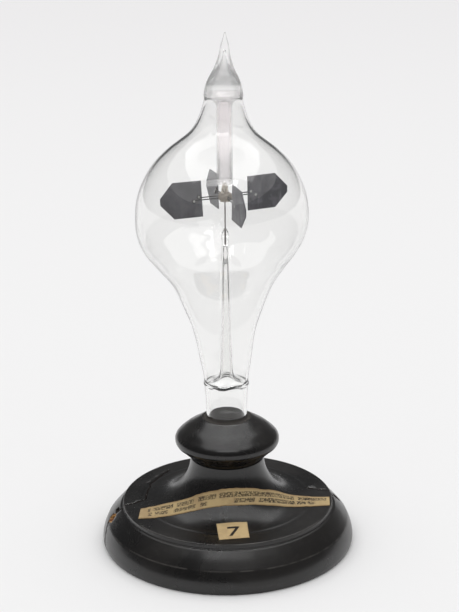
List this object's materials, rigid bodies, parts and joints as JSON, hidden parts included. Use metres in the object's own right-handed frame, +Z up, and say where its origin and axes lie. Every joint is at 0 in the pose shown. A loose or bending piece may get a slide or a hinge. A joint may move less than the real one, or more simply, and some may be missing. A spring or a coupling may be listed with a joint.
{
  "type": "crookes radiometer",
  "caption": "Sealed glass bulb with a vane rotor free to spin on a needle point, set in a turned dark wooden stand with a paper caption strip and a number label.",
  "frame": {"origin": "middle of the stand's underside, on the surface it stands on", "axes": "+Z up along the rotor's spin axis and the bulb, -Y towards the front where the labels are read, +X to the right seen from the front"},
  "size_m": [0.1016, 0.1016, 0.2055],
  "materials": {
    "black_wood": "satin",
    "plaster": "matte",
    "aged_paper": "matte",
    "clear_glass": "gloss",
    "steel": "satin",
    "cap_glass": "gloss",
    "hub_cement": "matte",
    "dull_aluminium": "satin",
    "arm_wire": "satin",
    "mica": "gloss"
  },
  "bodies": {
    "stand_and_bulb": {"base_disc": "black_wood", "pedestal": "black_wood", "socket_knob": "black_wood", "socket_plaster": "plaster", "caption_strip": "aged_paper", "number_label": "aged_paper", "neck_tube": "clear_glass", "bulb_envelope": "clear_glass", "seal_tip": "clear_glass", "guide_tube": "clear_glass", "needle_stem": "clear_glass", "needle": "steel"},
    "vane_rotor": {"pivot_cap": "cap_glass", "hub_collar": "hub_cement", "arm_1": "arm_wire", "arm_2": "arm_wire", "arm_3": "arm_wire", "arm_4": "arm_wire", "vane_1": "dull_aluminium", "vane_2": "dull_aluminium", "vane_3": "dull_aluminium", "vane_4": "dull_aluminium", "mica_1": "mica", "mica_2": "mica", "mica_3": "mica", "mica_4": "mica", "eyelets_1": "arm_wire", "eyelets_2": "arm_wire", "eyelets_3": "arm_wire", "eyelets_4": "arm_wire"}
  },
  "joints": [
    {"name": "rotor_spin", "type": "hinge", "parent": "stand_and_bulb", "child": "vane_rotor", "pos_m": [0, 0, 0.1473], "axis": [0, 0, 1], "continuous": true}
  ]
}
